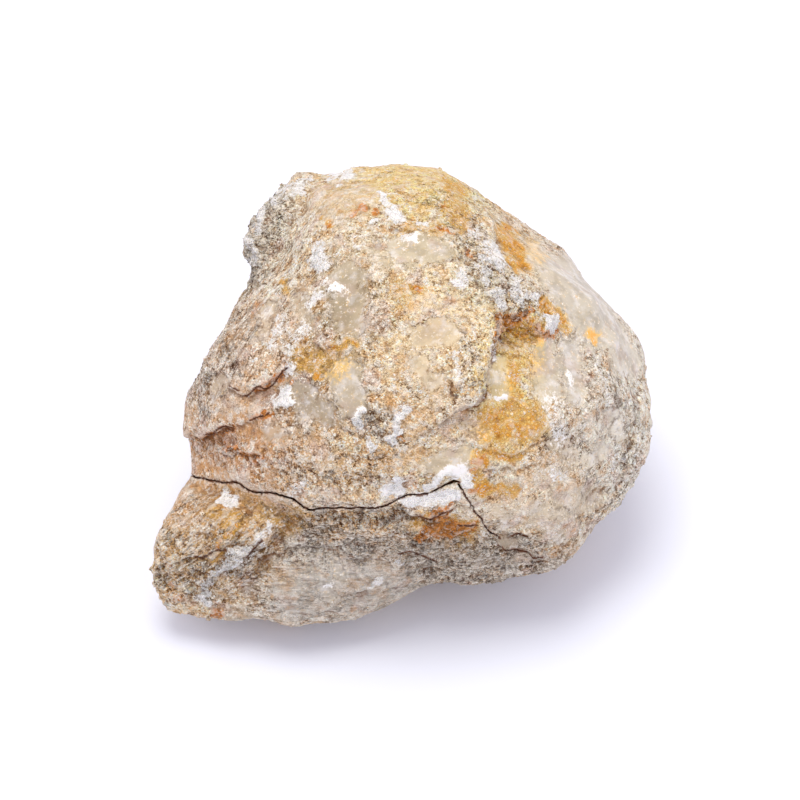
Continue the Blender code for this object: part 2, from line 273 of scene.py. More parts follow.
def cell_distances(points, wavelength_mm, seed):
    """Distances to the two nearest of points scattered about a wavelength apart."""
    scale = 1.0 / (wavelength_mm * MM)
    shift = np.array((seed * 9.1, seed * 3.7, seed * 5.3))
    places = (points * scale + shift).tolist()
    return np.array([noise.voronoi(place)[0][:2] for place in places])


# Marks on the broad face. Each is (half-width, strength, place, place, ...): a stroke through its
# places, or a spot if it has one place.

SPAR = (
    (19, 1.0, (345, 280), (350, 318)), (14, 1.0, (402, 250), (434, 250)),
    (14, 1.0, (422, 336), (448, 332)), (16, 1.0, (346, 376), (350, 398)),
    (14, 0.9, (300, 398), (318, 412)), (10, 0.9, (270, 430), (280, 434)),
    (13, 0.9, (436, 466), (462, 460)), (24, 1.0, (562, 276), (596, 322)),
    (14, 0.9, (612, 334), (630, 364)), (11, 0.9, (497, 364), (500, 392)),
    (14, 0.9, (542, 352), (550, 396)), (13, 0.9, (568, 352), (576, 396)),
    (8, 0.8, (612, 416), (616, 432)), (9, 0.7, (600, 450), (592, 460)),
    (14, 0.6, (540, 512), (582, 502)), (9, 0.7, (495, 512), (505, 520)),
    (8, 0.8, (268, 312), (262, 336)), (8, 0.8, (222, 378), (216, 398)),
    (7, 0.8, (334, 564), (340, 576)), (7, 0.8, (320, 590), (332, 596)),
    (9, 0.7, (556, 442), (575, 458)), (10, 0.8, (414, 360), (430, 380)),
    (8, 0.6, (300, 300), (310, 320)), (8, 0.6, (376, 250), (384, 262)),
    (8, 0.6, (466, 430), (490, 436)), (12, 0.7, (534, 250), (556, 268)),
    (7, 0.9, (504, 541), (514, 545)), (6, 0.8, (514, 558), (530, 561)),
)
# Smooth pale skin, less glassy than the windows
SMOOTH = (
    (22, 1.0, (334, 202), (362, 196)), (14, 0.8, (262, 316), (240, 352)),
    (12, 0.8, (232, 384), (216, 408)), (14, 0.7, (404, 356), (432, 384)),
    (13, 0.8, (296, 296), (308, 318)), (12, 0.7, (256, 402), (240, 414)),
    (20, 0.8, (552, 476), (590, 492)), (16, 0.7, (512, 500), (560, 530)),
    (14, 0.7, (190, 504), (178, 530)), (12, 0.7, (252, 500), (276, 506)),
    (26, 0.9, (296, 592), (384, 584)), (16, 0.7, (340, 566), (372, 562)),
    (12, 0.6, (460, 418), (446, 434)), (9, 0.9, (404, 502), (452, 500)),
    (14, 0.6, (504, 240), (530, 262)), (12, 0.7, (400, 176), (440, 172)),
    (16, 0.9, (205, 456), (240, 474)), (16, 0.8, (232, 408), (262, 432)),
    (16, 0.9, (178, 502), (202, 494)), (14, 0.7, (300, 452), (330, 462)),
    (12, 0.7, (596, 420), (604, 460)), (14, 0.6, (420, 300), (450, 306)),
)
# Strongly lumpy and pitted places
RUBBLE = (
    (16, 1.0, (296, 188), (262, 226), (252, 276)), (16, 0.9, (462, 250), (484, 272), (512, 296)),
    (16, 0.8, (462, 288), (500, 292), (540, 306)), (18, 0.8, (158, 572), (190, 600), (216, 606)),
    (16, 0.5, (636, 420), (626, 474), (600, 524)), (14, 0.9, (500, 548), (560, 556)),
    (10, 0.8, (300, 518), (404, 520)), (14, 0.8, (196, 448), (250, 460)),
    (14, 0.7, (352, 408), (372, 446)), (12, 0.6, (396, 416), (404, 440)),
    (16, 0.25, (404, 296), (380, 330)), (16, 0.6, (290, 470), (360, 484)),
    (12, 0.6, (440, 376), (476, 396)), (14, 0.6, (410, 540), (440, 560)),
    (14, 0.4, (600, 380), (612, 440)), (12, 0.6, (440, 200), (470, 222)),
    (13, 0.8, (508, 324), (536, 332)), (6, 0.9, (500, 316), (500, 328)),
)
# Strongly grained places, with open gaps between the crumbs
ROUGH = (
    (20, 1.0, (268, 200), (252, 270)), (16, 0.8, (240, 330), (206, 400)),
    (12, 0.5, (206, 450), (250, 470)), (20, 0.8, (300, 466), (370, 470)),
    (26, 0.8, (190, 520), (175, 580), (240, 560)), (14, 1.0, (290, 515), (410, 522)),
    (20, 0.8, (300, 545), (400, 550)), (24, 1.0, (400, 545), (440, 560), (520, 560)),
    (16, 1.0, (430, 525), (475, 530)), (18, 0.6, (560, 440), (600, 480)),
    (16, 0.5, (620, 380), (625, 470), (600, 520)), (16, 0.9, (470, 250), (500, 290), (530, 300)),
    (16, 0.7, (360, 410), (400, 440)), (20, 0.2, (390, 300), (380, 340)),
    (10, 0.6, (470, 340), (480, 380)), (14, 0.5, (430, 200), (470, 220)),
    (14, 0.7, (508, 324), (536, 332)),
)
CHALK = (
    (7, 1.2, (395, 211), (397, 218)), (4, 1.0, (382, 194), (386, 204)),
    (5, 0.9, (332, 174), (348, 173)), (4, 0.9, (371, 223), (376, 220)),
    (4, 0.8, (406, 236), (414, 240)), (3, 0.8, (422, 224), (431, 223)),
    (8, 0.9, (322, 246), (321, 260)), (6, 0.8, (329, 285), (340, 289)),
    (6, 0.7, (318, 296), (311, 306)), (6, 1.1, (285, 390), (281, 404)),
    (5, 0.8, (292, 366), (285, 374)), (5, 1.0, (403, 410), (398, 424)),
    (5, 1.0, (397, 428), (390, 438)), (4, 0.9, (358, 408), (359, 424)),
    (4, 0.8, (366, 438), (372, 448)), (7, 1.2, (388, 494), (400, 490)),
    (5, 1.1, (395, 480), (398, 488)), (7, 1.15, (402, 502), (454, 498)),
    (6, 1.1, (464, 470), (469, 486)), (5, 1.1, (426, 486), (446, 475), (462, 468)),
    (5, 0.9, (222, 497), (234, 504)), (6, 0.9, (457, 280), (464, 276)),
    (7, 0.9, (494, 256), (503, 266)), (5, 0.7, (484, 268), (488, 280)),
    (5, 0.9, (500, 296), (503, 303)), (6, 0.8, (514, 286), (520, 294)),
    (6, 1.0, (528, 298), (536, 300)), (5, 1.2, (547, 316), (550, 326)), (2.5, 1.2, (502, 397)),
    (8, 0.55, (302, 326), (290, 352)), (6, 0.55, (281, 318), (276, 344)),
    (6, 0.85, (262, 215), (256, 232)), (5, 0.8, (306, 184), (294, 194)),
    (5, 0.85, (248, 246), (252, 254)), (5, 0.7, (274, 198), (284, 188)),
    (5, 0.7, (270, 524), (258, 541)), (6, 0.75, (247, 553), (222, 568)),
    (5, 0.7, (213, 576), (206, 592)), (5, 0.6, (290, 488), (300, 484)),
    (5, 0.7, (490, 246), (486, 258)), (3, 0.5, (494, 344), (491, 360)),
    (4, 0.6, (454, 352), (458, 372)), (8, 0.5, (550, 402), (560, 440)),
    (5, 0.5, (546, 470), (560, 478)), (4, 0.6, (352, 236), (358, 246)),
    (5, 0.5, (470, 228), (478, 236)), (4, 0.7, (568, 374), (571, 386)),
    (5, 0.5, (596, 370), (606, 392)), (3, 0.8, (324, 586), (330, 587)),
    (3, 0.7, (372, 585), (380, 583)), (4, 0.6, (398, 566), (404, 568)),
    (3, 0.8, (203, 598), (208, 604)),
)
GOLD = (
    (24, 0.25, (390, 184), (442, 194)), (10, 0.6, (446, 184), (460, 190)),
    (12, 0.55, (452, 206), (462, 224)), (9, 0.85, (503, 230), (513, 248)),
    (8, 1.0, (514, 250), (523, 266)), (7, 0.4, (530, 246), (540, 256)),
    (7, 0.8, (546, 304), (562, 326)), (13, 0.75, (510, 326), (534, 332)),
    (13, 0.4, (512, 344), (532, 364)), (8, 0.65, (515, 366), (514, 404)),
    (19, 0.7, (492, 426), (528, 422)), (5, 0.9, (500, 434), (516, 438)),
    (5, 1.0, (478, 458), (485, 463)), (7, 0.85, (477, 474), (484, 490)),
    (5, 0.8, (488, 452), (514, 454)), (4, 0.8, (490, 490), (517, 491)),
    (5, 0.9, (411, 286), (419, 289)), (4, 1.1, (317, 381), (321, 382)),
    (15, 0.4, (306, 360), (336, 366)), (3, 0.7, (330, 348), (354, 343)),
    (9, 0.5, (214, 512), (234, 522)), (4, 0.8, (236, 529), (220, 546)),
    (4, 0.7, (224, 552), (210, 560)), (9, 0.4, (262, 512), (300, 520)),
    (4, 0.6, (286, 280), (287, 292)), (3, 0.8, (322, 222), (325, 225)),
    (4, 0.9, (590, 334), (597, 339)), (6, 0.4, (405, 230), (440, 229)),
    (9, 0.35, (400, 290), (404, 300)), (12, 0.4, (300, 512), (290, 530)),
    (13, 0.6, (424, 524), (470, 530)),
)
RUST = (
    (4, 1.1, (498, 330), (503, 321), (510, 315), (522, 312), (530, 314)),
    (4, 1.0, (537, 328), (545, 337), (553, 334)), (9, 0.4, (508, 322), (520, 318)),
    (3, 1.0, (430, 520), (442, 514), (452, 510)), (10, 0.95, (430, 528), (462, 530)),
    (3, 0.9, (456, 525), (477, 526)), (3, 0.8, (424, 537), (452, 537)),
    (3, 0.9, (288, 367), (277, 380), (270, 388), (256, 387)), (2.5, 0.9, (268, 413), (252, 420)),
    (3, 1.0, (230, 429), (218, 429), (206, 435)), (4, 1.0, (226, 444), (244, 453), (258, 456)),
    (2, 0.7, (291, 385), (298, 381)), (2.5, 0.8, (349, 217), (357, 214), (365, 207)),
    (2.5, 0.9, (322, 226), (325, 223)), (3, 0.9, (374, 209)), (3, 0.9, (442, 229), (446, 232)),
    (2.5, 0.7, (443, 202)), (3, 0.6, (412, 216)), (2.5, 0.6, (388, 181)),
    (3.5, 0.7, (400, 434), (407, 437)), (2.5, 0.9, (414, 285), (420, 290)),
    (3, 0.8, (472, 250), (474, 256)), (3, 0.8, (468, 497), (480, 492)),
    (2.5, 0.7, (471, 468), (488, 456)), (2, 0.7, (482, 396), (474, 407), (458, 414)),
    (2, 0.8, (498, 334), (490, 356)), (3, 0.9, (210, 611), (221, 613)),
    (3, 0.5, (224, 538), (218, 548)), (3, 0.5, (170, 590), (182, 598)),
    (2, 0.5, (262, 302), (250, 314)),
)
# Painted shade: dark strokes under the crust's lip by the nook, under the slab over the crack, along
# the recess beneath it, under the fold and at the lobe's lower end. The rest are fine dark lines
# between the beds and specks of dirt; on the hidden sides these marks are dirt from noise.
SHADE_AND_DIRT = (
    (2, 0.9, (456, 391), (461, 393)), (3, 0.9, (395, 512), (416, 516), (430, 521)),
    (3, 0.9, (513, 536), (526, 536)), (1.5, 1.2, (477, 294)), (1.5, 1.2, (465, 298)),
    (2, 1.0, (468, 288), (472, 286)), (7, 0.65, (304, 516), (340, 518), (405, 517)),
    (10, 0.5, (282, 510), (326, 526)), (16, 0.2, (168, 572), (186, 592)),
    (4, 0.9, (205, 597), (209, 601)), (6, 0.6, (404, 530), (424, 548)),
    (6, 0.5, (440, 548), (500, 558)), (3, 0.6, (506, 551), (534, 558), (546, 558)),
    (4, 0.6, (364, 404), (364, 414)), (2.5, 1.2, (499, 328), (494, 345), (488, 366)),
    (2.5, 1.2, (486, 388), (475, 406), (456, 415)), (6, 0.4, (264, 300), (238, 340)),
    (5, 0.7, (250, 258), (256, 278)), (6, 0.5, (282, 196), (268, 214)),
    (8, 0.4, (330, 480), (290, 492)), (6, 0.6, (372, 414), (386, 440)),
    (4, 0.5, (470, 258), (480, 282)), (4, 0.7, (256, 546), (240, 564)),
    (3, 0.9, (426, 569), (431, 572)), (3, 0.7, (400, 552), (424, 556)),
    (3, 0.6, (634, 400), (640, 430)), (4, 0.5, (590, 380), (596, 402)),
    (3, 0.6, (212, 609), (222, 612)), (3, 1.2, (228, 446), (244, 454), (256, 456)),
    (2.5, 1.1, (208, 436), (218, 430), (229, 428)), (1.5, 1.1, (214, 512), (232, 508)),
    (1.5, 1.1, (222, 530), (240, 522), (256, 512)), (1.5, 1.1, (206, 544), (222, 536)),
    (1.5, 1.0, (236, 548), (250, 536), (262, 526)), (2, 1.1, (262, 508), (278, 512), (290, 520)),
    (2, 1.1, (262, 548), (248, 559), (238, 570)), (2, 0.8, (612, 360), (616, 400), (610, 440)),
    (2, 0.8, (630, 420), (626, 470), (610, 505)), (2, 0.7, (596, 400), (600, 440)),
    (2, 0.8, (592, 468), (582, 496)), (2.5, 0.7, (556, 506), (590, 520)),
    (1.5, 1.0, (270, 424), (286, 432), (300, 436)), (1.5, 1.0, (340, 424), (352, 436)),
)
GREY = (
    (16, 0.9, (262, 222), (252, 268)), (10, 0.7, (288, 184), (272, 206)),
    (34, 0.9, (300, 588), (390, 580)), (20, 0.7, (320, 556), (400, 560)),
    (20, 0.7, (420, 560), (500, 566)), (12, 0.6, (498, 290), (470, 262)),
    (14, 0.5, (520, 545), (560, 560)), (9, 0.4, (355, 412), (368, 440)),
)
# The back of the nook, which lies shallower in the fine copy
NOOK_FLOOR = ((15, 1.0, (514, 332), (534, 334)),)
# Where the surface is drawn out into fibres: level on the belly, slanting on the lobe, steep on the
# left flank
FIBRES = (
    (40, 1.0, (280, 590), (390, 575)), (26, 0.9, (310, 545), (410, 555)),
    (24, 0.9, (420, 560), (520, 565)), (16, 0.5, (430, 528), (500, 526)),
)
SLANTING = (
    (34, 1.0, (176, 560), (236, 548)), (18, 0.8, (214, 590), (270, 525)),
    (16, 0.5, (205, 500), (250, 510)),
)
STEEP = ((20, 1.0, (300, 262), (236, 330), (204, 392)), (14, 0.6, (256, 330), (226, 400)))

# Edges of the crust's broken plates: (drop_mm, fall_mm, place, ...). Along the line's run the plate
# to its left is the higher one, by the drop; it falls back to the surface over the fall.
PLATE_EDGES = (
    (0.8, 6.0, (274, 282), (257, 297), (244, 311), (230, 331), (219, 348), (207, 364)),
    (1.1, 5.0, (228, 387), (243, 396), (251, 394), (257, 387), (265, 389), (277, 379), (288, 367)),
    (0.7, 3.0, (248, 421), (262, 416), (272, 412)),
    (1.0, 4.0, (194, 437), (206, 436), (217, 429), (230, 427)),
    (0.8, 3.0, (218, 453), (242, 451), (262, 456)),
    (1.0, 4.0, (436, 426), (458, 413), (475, 405), (486, 388), (488, 364), (495, 341), (501, 322)),
    (0.6, 4.0, (444, 376), (455, 388), (466, 388), (482, 383)),
    (0.6, 3.5, (318, 349), (330, 347), (356, 342)),
    (0.5, 3.0, (344, 219), (357, 214), (368, 206), (384, 210)),
    (0.6, 3.0, (330, 184), (342, 182), (356, 180), (378, 177)),
    (0.7, 3.5, (399, 227), (416, 229), (440, 230)),
    (0.5, 7.0, (326, 364), (331, 380), (333, 404), (345, 415), (362, 413)),
    (0.5, 4.0, (460, 441), (491, 451), (513, 454), (537, 445)),
    (0.6, 3.0, (486, 468), (503, 467), (518, 468), (540, 464)),
    (0.7, 5.0, (604, 340), (596, 360), (590, 384), (600, 420), (592, 452)),
    (0.8, 4.0, (168, 568), (186, 557), (205, 557), (225, 550), (240, 535)),
    (0.6, 4.0, (190, 536), (216, 527), (228, 516), (242, 506), (256, 511)),
    (0.8, 4.0, (200, 590), (214, 577), (232, 566), (254, 550), (276, 532)),
    (0.6, 4.0, (256, 560), (290, 548), (327, 547), (342, 545), (366, 535), (390, 540)),
    (0.5, 4.0, (340, 549), (356, 557), (392, 561)),
    (0.7, 4.0, (396, 553), (408, 551), (424, 556), (440, 563)),
    (0.5, 4.0, (356, 592), (388, 588)), (0.5, 4.0, (316, 612), (352, 613)),
    (1.3, 5.0, (392, 511), (416, 515), (430, 520), (442, 514), (458, 509)),
    (0.6, 3.0, (424, 538), (452, 538), (478, 526)),
    (0.8, 3.0, (496, 544), (506, 551), (517, 549), (534, 558), (548, 557)),
    (0.7, 4.0, (508, 538), (519, 534), (534, 537)),
    (0.5, 3.0, (300, 262), (292, 280), (276, 292), (262, 314)),
    (0.5, 3.0, (470, 236), (478, 252), (474, 270), (482, 288)),
    (0.7, 4.0, (646, 376), (640, 400), (634, 440), (622, 480)),
)

# Colours as they look in full light, 0 to 255, and where each holds on the broad face:
# (x, y, half-width, half-height). Beyond their reach and on the hidden sides others take over.
GROUND = {
    "golden crust": ((252, 230, 158), (412, 186, 60, 26)),
    "tan patch": ((226, 198, 154), (350, 198, 30, 20)),
    "pale crust": ((230, 210, 174), (350, 246, 50, 34)),
    "grey knob": ((248, 238, 214), (266, 232, 26, 52)),
    "olive spar": ((114, 92, 56), (350, 300, 26, 42)),
    "cream spar": ((210, 194, 158), (418, 252, 34, 20)),
    "warm crust": ((244, 218, 172), (404, 320, 60, 50)),
    "pink left side": ((216, 188, 158), (228, 375, 48, 60)),
    "honey spar": ((134, 104, 50), (318, 364, 30, 18)),
    "pale spar": ((194, 177, 148), (350, 390, 24, 26)),
    "pink spar": ((146, 126, 104), (305, 408, 30, 22)),
    "brown crust": ((205, 153, 109), (240, 450, 60, 28)),
    "tan crust": ((236, 204, 158), (370, 455, 80, 34)),
    "crust by the nook": ((246, 226, 184), (490, 280, 44, 34)),
    "nook": ((255, 220, 92), (522, 328, 24, 16)),
    "warm shoulder": ((255, 226, 150), (514, 380, 26, 50)),
    "cream shoulder": ((222, 213, 194), (584, 340, 48, 70)),
    "shoulder's edge": ((255, 248, 228), (625, 430, 30, 80)),
    "low cream": ((240, 222, 182), (446, 466, 40, 22)),
    "slab under the crack": ((252, 238, 212), (428, 502, 40, 12)),
    "low shoulder": ((234, 216, 186), (545, 505, 70, 34)),
    "lobe's skin": ((218, 182, 149), (180, 500, 22, 20)),
    "lobe": ((204, 160, 102), (215, 512, 44, 30)),
    "lobe's foot": ((252, 216, 164), (178, 575, 36, 40)),
    "rib of the lobe": ((196, 162, 114), (245, 560, 30, 40)),
    "recess": ((252, 208, 150), (350, 520, 74, 12)),
    "belly": ((204, 195, 178), (340, 585, 110, 44)),
    "layered band": ((206, 186, 156), (455, 556, 66, 22)),
    "under the fold": ((180, 166, 147), (540, 560, 50, 24)),
}
HIDDEN_GROUND = ((216, 192, 162), (232, 216, 194), (204, 182, 154), (222, 190, 142))


def light_value(colour):
    """Linear values of a colour given as 0 to 255."""
    share = np.array(colour, float) / 255.0
    return np.where(share <= 0.04045, share / 12.92, ((share + 0.055) / 1.055) ** 2.4)


def distance_from(places, start, end):
    """How far each place is from a straight stretch, in frame units."""
    run = end - start
    share = clamp((places - start) @ run / (run @ run))
    return np.linalg.norm(places - start - share[:, None] * run, axis=1)


def stroke_strength(places, strokes):
    """How strongly a set of strokes marks each place."""
    total = np.zeros(len(places))
    for half_width, strength, *line in strokes:
        line = np.array(line, float)
        nearest = np.linalg.norm(places - line[0], axis=1)
        for start, end in zip(line[:-1], line[1:]):
            nearest = np.minimum(nearest, distance_from(places, start, end))
        held = strength * (1.0 - soft_step(0.5, 1.5, nearest / half_width))
        total = np.maximum(total, held)
    return total


def wandering(points, places, reach=5.0):
    """The places, shifted by noise so that no mark has a smooth outline."""
    shifted = places.copy()
    for column in range(2):
        shifted[:, column] += reach * 1.6 * noise_at(points, 4.5, 20 + column)
        shifted[:, column] += reach * noise_at(points, 1.9, 24 + column)
    return shifted


def facing_camera(points, normals):
    """1 where the surface looks at the camera, 0 where it is seen edge on, less where it is hidden."""
    to_camera = MIDDLE + DISTANCE * TO_CAMERA - points
    to_camera /= np.linalg.norm(to_camera, axis=1)[:, None]
    return np.einsum("ij,ij->i", normals, to_camera)


def drawn_share(points, normals):
    """1 on the broad face and on a ragged border beyond its edge, 0 on the sides turned away."""
    above_girdle = (points[:, 2] - GIRDLE_SLOPE * points[:, 1]) / MM - GIRDLE_HEIGHT_MM
    above_girdle += GIRDLE_RAGGED_MM * noise_at(points, 13.0, 37)
    facing = soft_step(*TURNED_AWAY, facing_camera(points, normals))
    return np.maximum(facing, soft_step(*GIRDLE_FADE_MM, above_girdle))


def marks_at(points, normals):
    """Strength of each kind of mark at each point: drawn on the broad face, from noise elsewhere."""
    places = wandering(points, seen_at(points))
    shown = drawn_share(points, normals)
    patches = noise_at(points, 22.0, 31) + 0.5 * noise_at(points, 9.0, 32)
    spots = noise_at(points, 14.0, 33) + 0.6 * noise_at(points, 5.0, 34)
    stains = noise_at(points, 26.0, 35) + 0.6 * noise_at(points, 8.0, 36)
    hidden = {
        "spar": soft_step(0.15, 0.4, patches),
        "smooth": soft_step(0.0, 0.4, patches),
        "rubble": 0.8 * soft_step(0.1, 0.5, spots - 0.5 * patches),
        "rough": soft_step(-0.2, 0.5, spots - 0.5 * patches),
        "chalk": soft_step(0.38, 0.6, spots),
        "gold": 0.8 * soft_step(0.2, 0.55, stains),
        "rust": 0.7 * soft_step(0.45, 0.7, stains),
        "shade_and_dirt": 0.6 * soft_step(0.25, 0.6, -spots),
        "grey": 0.6 * soft_step(0.2, 0.5, -patches),
        "fibres": 0.8 * soft_step(0.25, 0.5, -stains),
        "slanting": 0.6 * soft_step(0.3, 0.6, stains - patches),
        "steep": 0.6 * soft_step(0.3, 0.6, patches - stains),
    }
    drawn = {
        "spar": SPAR, "smooth": SMOOTH, "rubble": RUBBLE, "rough": ROUGH, "chalk": CHALK,
        "gold": GOLD, "rust": RUST, "shade_and_dirt": SHADE_AND_DIRT, "grey": GREY, "fibres": FIBRES, "slanting": SLANTING,
        "steep": STEEP,
    }
    return {
        kind: shown * stroke_strength(places, drawn[kind]) + (1.0 - shown) * hidden[kind]
        for kind in drawn
    }


def ground_at(points, normals):
    """The crust's own colour at each point."""
    places = wandering(points, seen_at(points), 8.0)
    shown = drawn_share(points, normals)[:, None]
    total = np.full((len(points), 1), 0.04)
    colour = total * light_value(HIDDEN_GROUND[0])
    for lit, (x, y, half_width, half_height) in GROUND.values():
        away = np.hypot((places[:, 0] - x) / half_width, (places[:, 1] - y) / half_height)
        weight = np.exp(-(away ** 2) * 1.4)[:, None]
        colour += weight * light_value(lit)
        total += weight
    front = colour / total
    blend = [soft_step(-0.3, 0.4, noise_at(points, 24.0, 40 + n))[:, None] for n in range(3)]
    back = light_value(HIDDEN_GROUND[0])
    for share, lit in zip(blend, HIDDEN_GROUND[1:]):
        back = back * (1.0 - 0.7 * share) + light_value(lit) * 0.7 * share
    return shown * front + (1.0 - shown) * back


# Making the stone


def merged_copy(node):
    """The node's loose triangles, joined at their corners."""
    bm = bmesh.new()
    bm.from_mesh(node.data)
    bmesh.ops.remove_doubles(bm, verts=bm.verts, dist=0.001 * MM)
    return bm


def swept_blade(bm, line, half_widths):
    """A closed strip along a line of sight lines, each from its near depth down to its far depth."""
    rings = []
    for number, (x, y, near, far) in enumerate(line):
        start, sight = sight_line(x, y)
        before = Vector(line[max(number - 1, 0)][:2])
        after = Vector(line[min(number + 1, len(line) - 1)][:2])
        run = (after - before).normalized()
        aside = Vector(ACROSS) * run.y + Vector(UP_FACE) * run.x
        mouth, floor = start + sight * near, start + sight * far
        wide, narrow = half_widths[number]
        corners = (
            mouth + aside * wide, mouth - aside * wide,
            floor - aside * narrow, floor + aside * narrow,
        )
        rings.append([bm.verts.new(corner) for corner in corners])
    for ring, following in zip(rings[:-1], rings[1:]):
        for corner in range(4):
            nearby = (corner + 1) % 4
            bm.faces.new((ring[corner], ring[nearby], following[nearby], following[corner]))
    bm.faces.new(rings[0])
    bm.faces.new(rings[-1])


def walked(line, step, wobble=0.0, seed=0):
    """The line's places at even steps, moved aside by up to about the wobble."""
    line = np.array(line, float)
    lengths = np.linalg.norm(np.diff(line[:, :2], axis=0), axis=1)
    travel = np.concatenate(((0.0,), np.cumsum(lengths)))
    stops = np.linspace(0.0, travel[-1], max(2, round(travel[-1] / step) + 1))
    walk = np.stack([np.interp(stops, travel, line[:, column]) for column in range(3)], axis=1)
    run = np.gradient(walk[:, :2], axis=0)
    aside = np.stack((run[:, 1], -run[:, 0]), axis=1) / np.linalg.norm(run, axis=1)[:, None]
    sway = [
        noise.noise((stop / 9.0, seed, 0.0)) + 0.6 * noise.noise((stop / 3.0, seed, 5.0))
        for stop in stops
    ]
    walk[:, :2] += wobble * aside * np.array(sway)[:, None]
    return walk


def depth_at(surface, x, y):
    """How far from the camera the stone's surface is at a place, or None beside the stone."""
    start, sight = sight_line(x, y)
    return surface.ray_cast(start, sight)[3]


def fill_cad_crack(bm):
    """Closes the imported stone's crack, so that a finer one can be cut in the fine copy."""
    surface = BVHTree.FromBMesh(bm)
    for line in (CRACK, CRACK_BRANCH):
        strip = []
        walk = walked(line, FILLER_STEP)
        for number, (x, y, _) in enumerate(walk):
            ahead = walk[min(number + 1, len(walk) - 1)][:2] - walk[max(number - 1, 0)][:2]
            aside = np.array((ahead[1], -ahead[0])) / np.linalg.norm(ahead) * LIPS_APART
            sides = [depth_at(surface, x + s * aside[0], y + s * aside[1]) for s in (-1.0, 1.0)]
            if None not in sides:
                near = max(sides) + FILLER_BELOW
                strip.append((x, y, near, near + FILLER_DEPTH))
        half = FILLER_WIDTH / 2
        swept_blade(bm, strip, [(half, half)] * len(strip))
    bmesh.ops.recalc_face_normals(bm, faces=bm.faces)


def lay_of_strata(points, angle, along_mm, across_mm):
    """Coordinates in which noise looks like thin beds that run at an angle over the broad face."""
    away = points - MIDDLE
    right, up, out = away @ ACROSS, away @ UP_FACE, away @ TO_CAMERA
    along = right * math.cos(angle) + up * math.sin(angle)
    aside = up * math.cos(angle) - right * math.sin(angle)
    return np.stack((along / along_mm, aside / across_mm, out / (2.5 * across_mm)), axis=1)


def plate_heights(places):
    """Millimetres that the crust's plates stand up at their broken edges."""
    level = np.zeros(len(places))
    for drop, fall, *line in PLATE_EDGES:
        line = np.array(line, float)
        nearest = np.full(len(places), 1e9)
        side = np.zeros(len(places))
        for start, end in zip(line[:-1], line[1:]):
            run = end - start
            aside = run[1] * (places[:, 0] - start[0]) - run[0] * (places[:, 1] - start[1])
            distance = distance_from(places, start, end)
            closer = distance < nearest
            side = np.where(closer, np.sign(aside), side)
            nearest = np.where(closer, distance, nearest)
        tips = np.minimum(*(np.linalg.norm(places - end, axis=1) for end in (line[0], line[-1])))
        # The high side stands up by 0.7 of the drop, and the low side lies 0.3 of it down.
        away = nearest * MM_PER_UNIT
        high = 0.7 * drop * np.exp(-away / fall)
        low = -0.3 * drop * np.exp(-away / (0.4 * fall))
        rise = soft_step(-0.28, 0.28, side * away)
        taper = soft_step(0.0, 2.5, tips * MM_PER_UNIT)
        level += (low + (high - low) * rise) * np.where(nearest < 0.9 * tips, 1.0, taper)
    return level


def terraced(level, step):
    """The level, gathered into flat treads with steep risers between them."""
    tread = np.floor(level / step)
    return step * (tread + soft_step(0.4, 0.6, level / step - tread))


def relief(points, normals):
    """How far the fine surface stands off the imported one, in millimetres."""
    marks = marks_at(points, normals)
    shown = drawn_share(points, normals)
    places = wandering(points, seen_at(points), 2.5)
    glassy = soft_step(0.25, 0.75, marks["spar"])
    rubble = marks["rubble"] * (1.0 - glassy)
    crust = 1.0 - 0.92 * glassy
    gritty = crust * (1.0 - 0.6 * marks["smooth"]) * (0.3 + 0.5 * rubble + 0.3 * marks["rough"])
    gritty *= 0.6 + 0.8 * soft_step(-0.3, 0.4, noise_at(points, 6.0, 11))
    swells = noise_at(points, 8.0, 1) + noise_at(points, 3.2, 2) * 0.4
    level = 0.35 * swells + crust * 0.35 * terraced(swells, 0.5)
    level += shown * plate_heights(places) * (0.4 + 0.6 * crust)
    level += 0.18 * crust - 0.55
    level += gritty * (noise_at(points, 1.9, 3) * 0.24 + noise_at(points, 1.1, 4) * 0.42)
    level += gritty * (grains_at(points, 1.3, 6) - 0.4) * 0.35
    level += rubble * (noise_at(points, 3.0, 14) * 0.7 + (grains_at(points, 2.4, 15) - 0.4) * 0.5)
    for kind, lay, height in (
        ("fibres", BELLY_LAY, 0.38), ("slanting", LOBE_LAY, 0.65), ("steep", FLANK_LAY, 0.35),
    ):
        beds = lay_of_strata(points, lay, 6.0, 1.1)
        drawn_out = noise_at(beds, 1.0 / MM, 7) + 0.6 * noise_at(beds, 0.45 / MM, 8)
        level += height * marks[kind] * crust * drawn_out
    pits = cell_distances(points, 3.4, 12)[:, 0]
    level -= 0.9 * rubble * (1.0 - soft_step(0.10, 0.26, pits))
    level += 0.25 * soft_step(0.4, 0.8, marks["chalk"])
    filled = stroke_strength(places, NOOK_FLOOR)
    level += NOOK_FILL_MM * filled * shown
    return level * soft_step(*RESTING_MM, points[:, 2] / MM)


def fine_stone(node):
    """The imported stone's copy with its surface roughened and its cracks cut."""
    bm = merged_copy(node)
    fill_cad_crack(bm)
    mesh = bpy.data.meshes.new("geode_surface")
    bm.to_mesh(mesh)
    bm.free()
    stone = add_object("geode_surface", mesh)
    fine = stone.modifiers.new("fine", "REMESH")
    fine.mode = "VOXEL"
    fine.voxel_size = FINE_GRID
    mesh = finished_mesh(stone)
    put_points(mesh, smoothed(points_of(mesh), edges_of(mesh), FACET_ROUNDS))
    points, normals = points_of(mesh), normals_of(mesh)
    put_points(mesh, points + relief(points, normals)[:, None] * normals * MM)
    keep_off_floor(mesh)
    cut_cracks(stone)
    thin_out(stone)
    mend(stone.data)
    return stone


def keep_off_floor(mesh):
    """Lifts what the relief pushed below the floor."""
    points = points_of(mesh)
    points[:, 2] = np.maximum(points[:, 2], 0.0)
    put_points(mesh, points)


